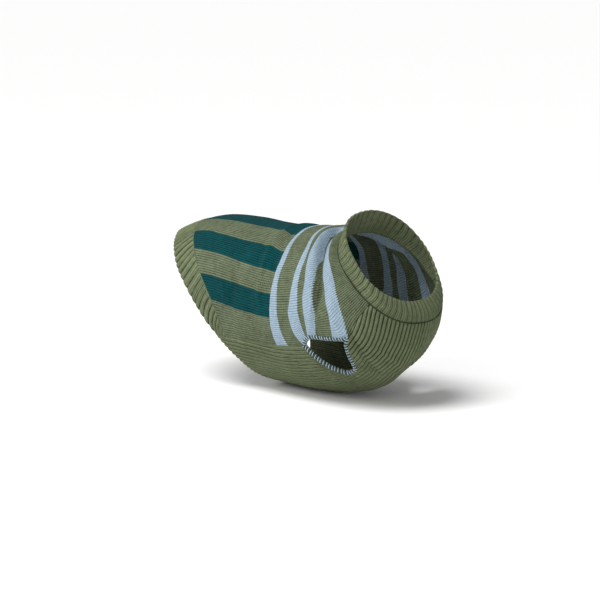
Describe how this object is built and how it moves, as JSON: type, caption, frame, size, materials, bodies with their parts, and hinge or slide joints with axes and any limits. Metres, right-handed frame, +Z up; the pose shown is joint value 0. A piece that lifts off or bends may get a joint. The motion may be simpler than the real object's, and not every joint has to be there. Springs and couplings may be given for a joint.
{
  "type": "dog sweater",
  "caption": "Knitted sleeveless pullover for a small dog, worn shape, with striped back, ribbed belly, crew collar, hem band and edged armholes.",
  "frame": {"origin": "inside face of the back panel on the spine, where the wearer's back carries the sweater", "axes": "+Z up, -Y the way the wearer faces, +Y towards the hem, +X the wearer's left"},
  "size_m": [0.154, 0.3578, 0.2023],
  "materials": {
    "moss_knit": "matte fine-gauge plain knit, moss green with dark teal lengthwise and pale blue cross stripes",
    "moss_rib": "matte ribbed knit in moss green",
    "edging_yarn": "slanted overcast stitches of pale blue and dark green yarn"
  },
  "bodies": {
    "root": {"back_panel": "moss_knit", "belly_panel": "moss_rib", "hem_band": "moss_rib", "collar": "moss_rib", "armhole_trim_right": "edging_yarn", "armhole_trim_left": "edging_yarn"}
  },
  "joints": []
}
